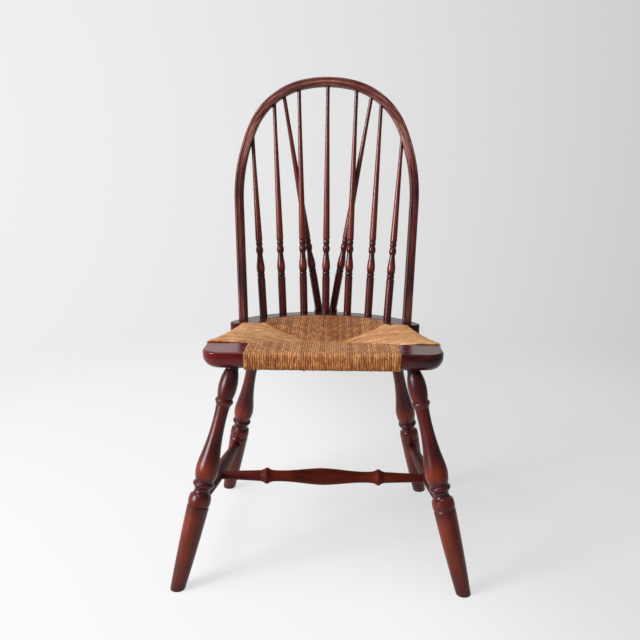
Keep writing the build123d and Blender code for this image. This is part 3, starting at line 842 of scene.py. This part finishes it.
@dataclass
class RushSeat:
    """Woven rush seat: cords wound over four rails, which turn down at the seams.

    Sizes are in mm, in the plane of the seat. Depths are counted from its front edge and rises
    from its top face.

    Attributes:
        front_half: half length of the wound part of the front rail.
        ear_half, ear_front: half distance between the ears, and the depth at which they start.
        side_flare, flare_share: how far a side flares out at its front, and over which share of it.
        arc_centre: depth of the centre of both arcs at the rear.
        slot_radius, bar_radius: radius of the slot, and of the inner edge of the bar.
        dish, sag: depth of the dish at the middle seam, and the power with which it deepens.
        pile_left, pile_right: how high the cords heap up near each front corner.
        pile_share, pile_reach: where on the way to the middle seam they do, and how widely.
        proud, side_proud: how far cords stand above the rails, and how much more those at the sides do.
        roll, upright: size of the roll round a rail's edge, and the share of it that stands upright.
        tuck, least_run: how far a cord turns down at a seam, and its least run from there to the rail.
        lip, lap: step in height where cords cross at a seam, and how far those of the sides run past it.
        puff: share of the dish that a cord has sunk halfway to the seam.
        swell, waves: how far the weave swells, and its waves as (share, length, start).
        shoulder, shoulder_reach: how far the sides fall off to the ears, and over which length.
        paleness, kinship: mean shade of each field, and how much a cord's shade follows the one beside it.
        spread, side_spread: how far shades stray at the front and rear, and at the sides.
    """

    SHADE = "cord_shade"
    COORDINATES = "cord_coordinates"

    plane: SeatPlane
    cord: RushCord = RushCord()
    front_half: float = 142.7
    front_depth: float = 84.0
    front_thick: float = 32.0
    side_thick: float = 27.0
    rear_thick: float = 22.0
    ear_half: float = 127.1
    ear_front: float = 265.0
    side_edge_front: float = 221.5
    side_edge_rear: float = 176.9
    side_hollow: float = 5.5
    side_flare: float = 4.5
    flare_share: float = 0.3
    side_inner: float = 24.0
    arc_centre: float = 185.0
    slot_radius: float = 185.7
    bar_radius: float = 149.7
    seam_half: float = 42.0
    dish: float = 20.0
    sag: float = 0.6
    pile_left: float = 7.0
    pile_right: float = 3.0
    pile_share: float = 0.27
    pile_reach: float = 0.17
    web_under: float = 25.0
    proud: float = 1.0
    side_proud: float = 2.8
    side_gap: float = 1.5
    roll: float = 11.0
    upright: float = 0.6
    tuck: float = 6.0
    least_run: float = 2.0
    lip: float = 1.8
    lap: float = 2.0
    puff: float = 0.3
    swell: float = 1.3
    waves: tuple[tuple[float, float, float], ...] = ((0.6, 9.5, 0.8), (0.4, 4.1, 2.1))
    shoulder: float = 4.0
    shoulder_reach: float = 16.0
    loose: float = 0.4
    side_loose: float = 0.2
    paleness: dict[Wedge, float] = field(default_factory=lambda: {
        Wedge.FRONT: 0.37, Wedge.REAR: 0.23, Wedge.LEFT: 0.55, Wedge.RIGHT: 0.56})
    kinship: float = 0.35
    spread: float = 0.14
    side_spread: float = 0.2
    tuft: FibreTuft = FibreTuft()
    tufts: tuple[float, ...] = (-34.0, 47.0)

    @property
    def seam_depth(self) -> float:
        """Depth of the middle seam."""
        return (self.front_depth + self.ear_front) / 2

    def seam_of(self, wedge: Wedge, station: float) -> Span:
        """Find where a cord meets the seam.

        Args:
            wedge: field of the cord.
            station: x of a front or rear cord, depth of a side cord.

        Returns:
            Place of the seam along the cord's run, and how deep in the dish it is from 0 to 1.
        """
        forward = wedge is Wedge.FRONT or (wedge.is_side and station < self.seam_depth)
        half, edge = (self.front_half, self.front_depth) if forward else (self.ear_half, self.ear_front)
        if wedge.is_side:
            share = (station - edge) / (self.seam_depth - edge)
            return half - share * (half - self.seam_half), share
        share = min(1.0, (half - abs(station)) / (half - self.seam_half))
        return edge + share * (self.seam_depth - edge), share

    def rail_of(self, wedge: Wedge, station: float) -> tuple[float, float, float]:
        """Find the rail that a cord goes round.

        Args:
            wedge: field of the cord.
            station: x of a front or rear cord, depth of a side cord.

        Returns:
            Outer edge and inner edge of the wound rail along the cord's run, and its thickness.
        """
        if wedge is Wedge.FRONT:
            return -self.proud, self.front_depth - self.tuck, self.front_thick
        if wedge is Wedge.REAR:
            outer = self.arc_centre + math.sqrt(self.slot_radius**2 - station**2)
            inner = self.arc_centre + math.sqrt(self.bar_radius**2 - station**2)
            return outer, inner + self.tuck, self.rear_thick
        share = (station - self.front_depth) / (self.ear_front - self.front_depth)
        chord = self.side_edge_front + share * (self.side_edge_rear - self.side_edge_front)
        flare = self.side_flare * max(0.0, 1 - share / self.flare_share) ** 2
        edge = chord - self.side_hollow * 4 * share * (1 - share) + flare
        return edge, edge - self.side_inner, self.side_thick

    def swelling(self, station: float) -> float:
        """Return how far the weave swells up at a station, in slow uneven waves."""
        return self.swell * sum(share * math.sin(station / run + start) for share, run, start in self.waves)

    def falling(self, station: float) -> float:
        """Return how far a side field falls off at its rear end, where it rounds down to the ear."""
        near = max(0.0, 1 - (self.ear_front - station) / self.shoulder_reach)
        return self.shoulder * near**2

    def heaped(self, wedge: Wedge, station: float, share: float) -> float:
        """Find how high the cords heap up where they turn close to a front corner.

        Args:
            wedge: field of the cord.
            station: x of a front or rear cord, depth of a side cord.
            share: how deep in the dish the cord meets the seam.

        Returns:
            The height.
        """
        if wedge is Wedge.REAR or (wedge.is_side and station > self.seam_depth):
            return 0.0
        leftward = wedge is Wedge.LEFT or (wedge is Wedge.FRONT and station < 0)
        pile = self.pile_left if leftward else self.pile_right
        return pile * math.exp(-((share - self.pile_share) / self.pile_reach) ** 2)

    def cord_line(self, wedge: Wedge, station: float) -> np.ndarray:
        """Lay one cord from the seam below, round its rail, to the seam above.

        Args:
            wedge: field of the cord.
            station: x of a front or rear cord, depth of a side cord.

        Returns:
            Rows of (place along the run, rise) in mm.
        """
        half = self.cord.height / 2
        seam, share = self.seam_of(wedge, station)
        outer, inner, thick = self.rail_of(wedge, station)
        out = -1.0 if wedge is Wedge.FRONT else 1.0
        edge = outer - out * half
        inner = out * max(out * inner, out * seam + self.tuck + self.least_run)
        top = self.proud - half
        under = -thick - self.proud + half
        sunk = self.dish * max(0.0, share) ** self.sag
        heap = self.heaped(wedge, station, share)
        low, lap = top - sunk + heap, 0.0
        if wedge.is_side:
            over = min(1.0, (station - self.front_depth) / (self.seam_depth - self.front_depth)) ** 2
            lap = self.lap * share
            top += self.side_proud - self.falling(station)
            low += over * (self.side_proud + self.lip) - (1 - over) * self.lip
        below = -self.web_under + half
        crown = top - self.puff * sunk + heap / 2 + self.swelling(station) * share
        middle = (inner + seam) / 2
        upright = self.roll * self.upright
        corners = [
            (seam, below + self.tuck), (seam + out * self.tuck / 2, below), (inner, under),
            (edge - out * self.roll, under), (edge, under), (edge, under + upright),
            (edge, top - upright), (edge, top), (edge - out * self.roll, top), (inner, top),
            (middle, crown), (seam + out * self.tuck, low), (seam - out * lap, low),
            (seam - out * lap, low - self.tuck),
        ]
        return rounded(corners)

    def cord_rings(self, wedge: Wedge, station: float, dice: random.Random) -> tuple[np.ndarray, np.ndarray]:
        """Make the section rings of one cord.

        Args:
            wedge: field of the cord.
            station: x of a front or rear cord, depth of a side cord.
            dice: seeded source of the cord's unevenness.

        Returns:
            Rings in the chair's frame, and how far along the cord each one is, both in metres.
        """
        line, along = evenly(self.cord_line(wedge, station), self.cord.step)
        tangent = np.gradient(line, axis=0)
        tangent /= np.linalg.norm(tangent, axis=1)[:, None]
        normal = np.stack([-tangent[:, 1], tangent[:, 0]], 1)
        side, up = self.cord.section(along, self.side_loose if wedge.is_side else self.loose, dice)
        run = line[:, None, 0] + normal[:, None, 0] * up
        rise = line[:, None, 1] + normal[:, None, 1] * up
        if wedge.is_side:
            sign = -1 if wedge is Wedge.LEFT else 1
            rings = np.stack([sign * run, station + side, rise], 2)
        else:
            rings = np.stack([station + side, run, rise], 2)
        if wedge in (Wedge.LEFT, Wedge.FRONT):
            rings = rings[:, ::-1]
        return self.plane.place(rings), along * MM

    def stations(self, wedge: Wedge) -> np.ndarray:
        """List the places of the cords of one field.

        Args:
            wedge: the field.

        Returns:
            x of each front or rear cord, depth of each side cord.
        """
        low, high = self.front_depth + self.side_gap, self.ear_front
        if wedge is Wedge.FRONT:
            low, high = -self.front_half, self.front_half
        elif wedge is Wedge.REAR:
            low, high = -self.ear_half, self.ear_half
        count = round((high - low) / self.cord.spacing)
        return low + (np.arange(count) + 0.5) * (high - low) / count

    def build(self) -> bpy.types.Object:
        """Weave the seat.

        Returns:
            The woven piece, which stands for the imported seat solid.
        """
        dice = random.Random(SEED)
        cords = CordMesh()
        for wedge in Wedge:
            spread = self.side_spread if wedge.is_side else self.spread
            drift = 0.0
            for station in self.stations(wedge):
                rings, along = self.cord_rings(wedge, float(station), dice)
                drift = self.kinship * drift + dice.uniform(-spread, spread)
                # Each cord starts elsewhere in the pattern, so that no two look alike.
                cords.add(rings, along + dice.uniform(0.0, 1.0), self.paleness[wedge] + drift)
        for x in self.tufts:
            self.tuft.hang(cords, self.plane, (x, -self.front_thick), dice)
        piece = cords.build("woven_rush_seat", self.SHADE, self.COORDINATES)
        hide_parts("rush_seat")
        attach(piece, "root")
        return piece

    def dress(self, piece: bpy.types.Object) -> None:
        """Give the woven piece its finish."""
        piece.data.materials.append(TwistedRush().material("seat"))
        LOG.info("%s woven with %d faces", piece.name, len(piece.data.polygons))


@dataclass
class SeatFrame:
    """Bare ends of the front rail, the curved rear rail, the tail block and the hidden side rails.

    Attributes:
        hidden_finish: finish of the side rails, which lie under the rush.
        length_mm, height_mm: length of the rails, and the height from which their grain is counted.
        tones: tone along a rail, in mm from its left end; its fall towards the right end is painted shade.
    """

    finish: VarnishedMahogany = VarnishedMahogany(stain="#6a1416", gloss=0.16, specular=0.3)
    rear_finish: VarnishedMahogany = VarnishedMahogany(stain="#4e1c19", gloss=0.2, specular=0.27)
    hidden_finish: BareWood = BareWood()
    length_mm: float = 460.0
    height_mm: float = 430.0
    # Painted shade: the rails darken towards their right end, away from the light.
    tones: Tones = ((0.0, 0.55), (70.0, 0.45), (230.0, 0.4), (390.0, 0.25), (460.0, 0.1))

    def dress(self) -> None:
        """Give each rail its finish, with the grain along the rail."""
        left_end = Vector((-self.length_mm / 2 * MM, 0.0, self.height_mm * MM))
        across = StraightGrain(left_end, Vector((1, 0, 0)))
        finishes = {"front_seat_rail": self.finish, "rear_seat_rail": self.rear_finish,
                    "tail_block": self.rear_finish}
        for node, finish in finishes.items():
            give_finish(node, finish.material(node, across, self.length_mm, self.tones))
        for node in ("side_seat_rail_left", "side_seat_rail_right"):
            give_finish(node, self.hidden_finish.material(node, StraightGrain.of_turning(node, 0.0)))


@dataclass
class Back:
    """Bent bow, seven spindles and two braces.

    Attributes:
        fullest_mm, length_mm: place of a spindle's fullest ring, and its length, both from the seat.
        tones: tone along a spindle, in mm from the seat.
        bow_lean_deg: how far the bow leans back.
        bow_spring_mm, bow_radius_mm: height where its arch starts, and the mean radius of the arch.
        bow_length_mm: length over which the bow's tones are placed.
        bow_tones: tone up the arch, in mm from where it starts. The legs below have the first one.
    """

    finish: VarnishedMahogany = VarnishedMahogany(gloss=0.24, specular=0.5)
    bow_finish: VarnishedMahogany = VarnishedMahogany(
        gathered="#1c0808", stain="#5e241d", rubbed="#aa786a", grain_mm=(2.6, 110.0), streak=0.4, gloss=0.42)
    spindles: int = 7
    fullest_mm: float = 109.0
    length_mm: float = 530.0
    tones: Tones = (
        (0.0, 0.4), (50.0, 0.65), (84.0, 0.65), (96.0, 0.35), (109.0, 1.0), (124.0, 0.55), (139.0, 0.3),
        (150.0, 0.5), (166.0, 0.3), (176.0, 0.8), (260.0, 0.75), (480.0, 0.65), (530.0, 0.4),
    )
    bow_lean_deg: float = 12.8
    bow_spring_mm: float = 330.0
    bow_radius_mm: float = 190.0
    bow_length_mm: float = 640.0
    bow_tones: Tones = ((0.0, 0.3), (60.0, 0.6), (200.0, 0.65), (400.0, 0.5), (640.0, 0.35))

    def dress(self) -> None:
        """Give the bow, the spindles and the braces their finish."""
        low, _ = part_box("bow")
        grain = BentGrain(Vector((0, low.y, low.z)), math.radians(self.bow_lean_deg),
                          self.bow_spring_mm, self.bow_radius_mm)
        give_finish("bow", self.bow_finish.material("bow", grain, self.bow_length_mm, self.bow_tones))
        spindles = [f"spindle_{number + 1}" for number in range(self.spindles)]
        for node in (*spindles, "brace_left", "brace_right"):
            grain = StraightGrain.of_turning(node, self.fullest_mm)
            give_finish(node, self.finish.material(node, grain, self.length_mm, self.tones))


@dataclass
class LegFrame:
    """Turned legs and the three stretchers.

    Attributes:
        dull_finish: finish of the stretchers, which feet have dulled.
        fullest_mm, length_mm: place of a leg's fullest ring, and its length, both from the foot.
        tones: tone along a leg, in mm from the foot.
        cross_half_mm, side_half_mm: half length of a stretcher, where it is fullest.
        cross_tones, side_tones: tone along a stretcher, in mm from one end.
    """

    finish: VarnishedMahogany = VarnishedMahogany()
    dull_finish: VarnishedMahogany = VarnishedMahogany(gloss=0.5, specular=0.15)
    fullest_mm: float = 234.0
    length_mm: float = 470.0
    tones: Tones = (
        (0.0, 0.3), (20.0, 0.55), (70.0, 0.85), (140.0, 0.85), (160.0, 0.55), (175.0, 0.8), (195.0, 0.4),
        (204.0, 0.5), (213.0, 0.35), (222.0, 0.8), (234.0, 1.0), (250.0, 0.65), (275.0, 0.5), (390.0, 0.45),
        (425.0, 0.2), (470.0, 0.1),
    )
    cross_half_mm: float = 217.0
    cross_tones: Tones = ((0.0, 0.45), (100.0, 0.7), (217.0, 0.7), (334.0, 0.7), (434.0, 0.45))
    side_half_mm: float = 190.0
    side_tones: Tones = ((0.0, 0.3), (190.0, 0.45), (380.0, 0.3))

    def dress(self) -> None:
        """Give the legs and the stretchers their finish."""
        for node in ("leg_front_left", "leg_front_right", "leg_rear_left", "leg_rear_right"):
            grain = StraightGrain.of_turning(node, self.fullest_mm)
            give_finish(node, self.finish.material(node, grain, self.length_mm, self.tones))
        stretchers = (
            ("side_stretcher_left", self.side_half_mm, self.side_tones),
            ("side_stretcher_right", self.side_half_mm, self.side_tones),
            ("cross_stretcher", self.cross_half_mm, self.cross_tones),
        )
        for node, half_mm, tones in stretchers:
            grain = StraightGrain.of_turning(node, half_mm)
            give_finish(node, self.dull_finish.material(node, grain, 2 * half_mm, tones))


@dataclass
class Studio:
    """Pale floor, soft light from the left and the camera. Places and sizes are in metres.

    Attributes:
        eye: camera's place.
        pitch_deg, heading_deg, roll_deg: how far it looks down, turns to the left and rolls.
        room, fill: level of the pale room as it is seen, and as it lights the chair.
        glow, glow_way: how much brighter it looks towards one side, and which one that is.
        aim: point that both lights face.
    """

    eye: Vector = field(default_factory=lambda: Vector((0.0218, -1.5498, 0.8205)))
    pitch_deg: float = 12.925
    heading_deg: float = 1.137
    roll_deg: float = 0.45
    lens_mm: float = 43.59
    sensor_mm: float = 36.0
    floor_radius: float = 3.0
    floor_corners: int = 96
    room: float = 0.3
    glow: float = 0.585
    glow_way: Vector = field(default_factory=lambda: Vector((-0.727, 1.0, 0.0)).normalized())
    fill: float = 0.22
    aim: Vector = field(default_factory=lambda: Vector((0.0, 0.0, 0.45)))
    key_place: Vector = field(default_factory=lambda: Vector((-3.3, -2.2, 1.5)))
    key_size: Span = (1.5, 1.3)
    key_watts: float = 162.0
    ceiling_place: Vector = field(default_factory=lambda: Vector((-0.75, -0.35, 2.8)))
    ceiling_size: Span = (1.3, 1.3)
    ceiling_watts: float = 31.0
    daylight: str = "#fefcff"

    def floor(self) -> None:
        """Lay a round floor under the feet."""
        mesh = bpy.data.meshes.new("floor")
        angles = np.linspace(0, 2 * math.pi, self.floor_corners, endpoint=False)
        rim = [(self.floor_radius * math.cos(a), self.floor_radius * math.sin(a), 0.0) for a in angles]
        mesh.from_pydata(rim, [], [tuple(range(len(rim)))])
        mesh.materials.append(PaleFloor().material())
        floor = bpy.data.objects.new("floor", mesh)
        bpy.context.scene.collection.objects.link(floor)

    def backdrop(self) -> None:
        """Surround the chair with a pale room that is brighter on the left and behind the chair."""
        world = bpy.data.worlds.new("pale_room")
        world.use_nodes = True
        world.node_tree.nodes.clear()
        add = partial(add_node, world.node_tree)
        way = add("TexCoord")["Generated"]
        near = add("VectorMath", {0: way, 1: self.glow_way}, operation="DOT_PRODUCT")["Value"]
        near = add("Math", {0: near, 1: 0.0}, operation="MAXIMUM")[0]
        level = add("Math", {0: near, 1: self.glow, 2: self.room}, operation="MULTIPLY_ADD")[0]
        level = add("MapRange", {0: seen_directly(add), 3: self.fill, 4: level})[0]
        light = add("Background", {"Color": linear(WHITE), "Strength": level})[0]
        add("OutputWorld", {"Surface": light})
        bpy.context.scene.world = world

    def soft_light(self, name: str, place: Vector, size: Span, watts: float) -> None:
        """Hang one large soft light that points at the chair.

        Args:
            name: name of the light.
            place: where its middle hangs.
            size: width and height of its face in metres.
            watts: its power.
        """
        lamp = bpy.data.lights.new(name, "AREA")
        lamp.shape = "RECTANGLE"
        lamp.size, lamp.size_y = size
        lamp.energy = watts
        lamp.color = linear(self.daylight)[:3]
        light = bpy.data.objects.new(name, lamp)
        light.location = place
        light.rotation_euler = (self.aim - place).to_track_quat("-Z", "Y").to_euler()
        bpy.context.scene.collection.objects.link(light)

    def camera(self) -> None:
        """Stand the camera where the photograph was taken from."""
        lens = bpy.data.cameras.new("camera")
        lens.lens = self.lens_mm
        lens.sensor_width = self.sensor_mm
        camera = bpy.data.objects.new("camera", lens)
        heading = Matrix.Rotation(math.radians(self.heading_deg), 4, "Z")
        pitch = Matrix.Rotation(math.radians(90 - self.pitch_deg), 4, "X")
        roll = Matrix.Rotation(math.radians(self.roll_deg), 4, "Z")
        camera.matrix_world = Matrix.Translation(self.eye) @ heading @ pitch @ roll
        bpy.context.scene.collection.objects.link(camera)
        bpy.context.scene.camera = camera

    def build(self) -> None:
        """Set up the floor, the light and the camera."""
        bpy.context.scene.view_settings.view_transform = "Standard"
        self.floor()
        self.backdrop()
        self.soft_light("window_light", self.key_place, self.key_size, self.key_watts)
        self.soft_light("ceiling_light", self.ceiling_place, self.ceiling_size, self.ceiling_watts)
        self.camera()


def main() -> None:
    """Dress the chair and set up the studio."""
    logging.basicConfig(level=logging.INFO, format="%(message)s")
    low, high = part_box("front_seat_rail")
    rush = RushSeat(SeatPlane(low.y, high.z))
    rush.dress(rush.build())
    SeatFrame().dress()
    Back().dress()
    LegFrame().dress()
    Studio().build()


if __name__ == "__main__":
    main()
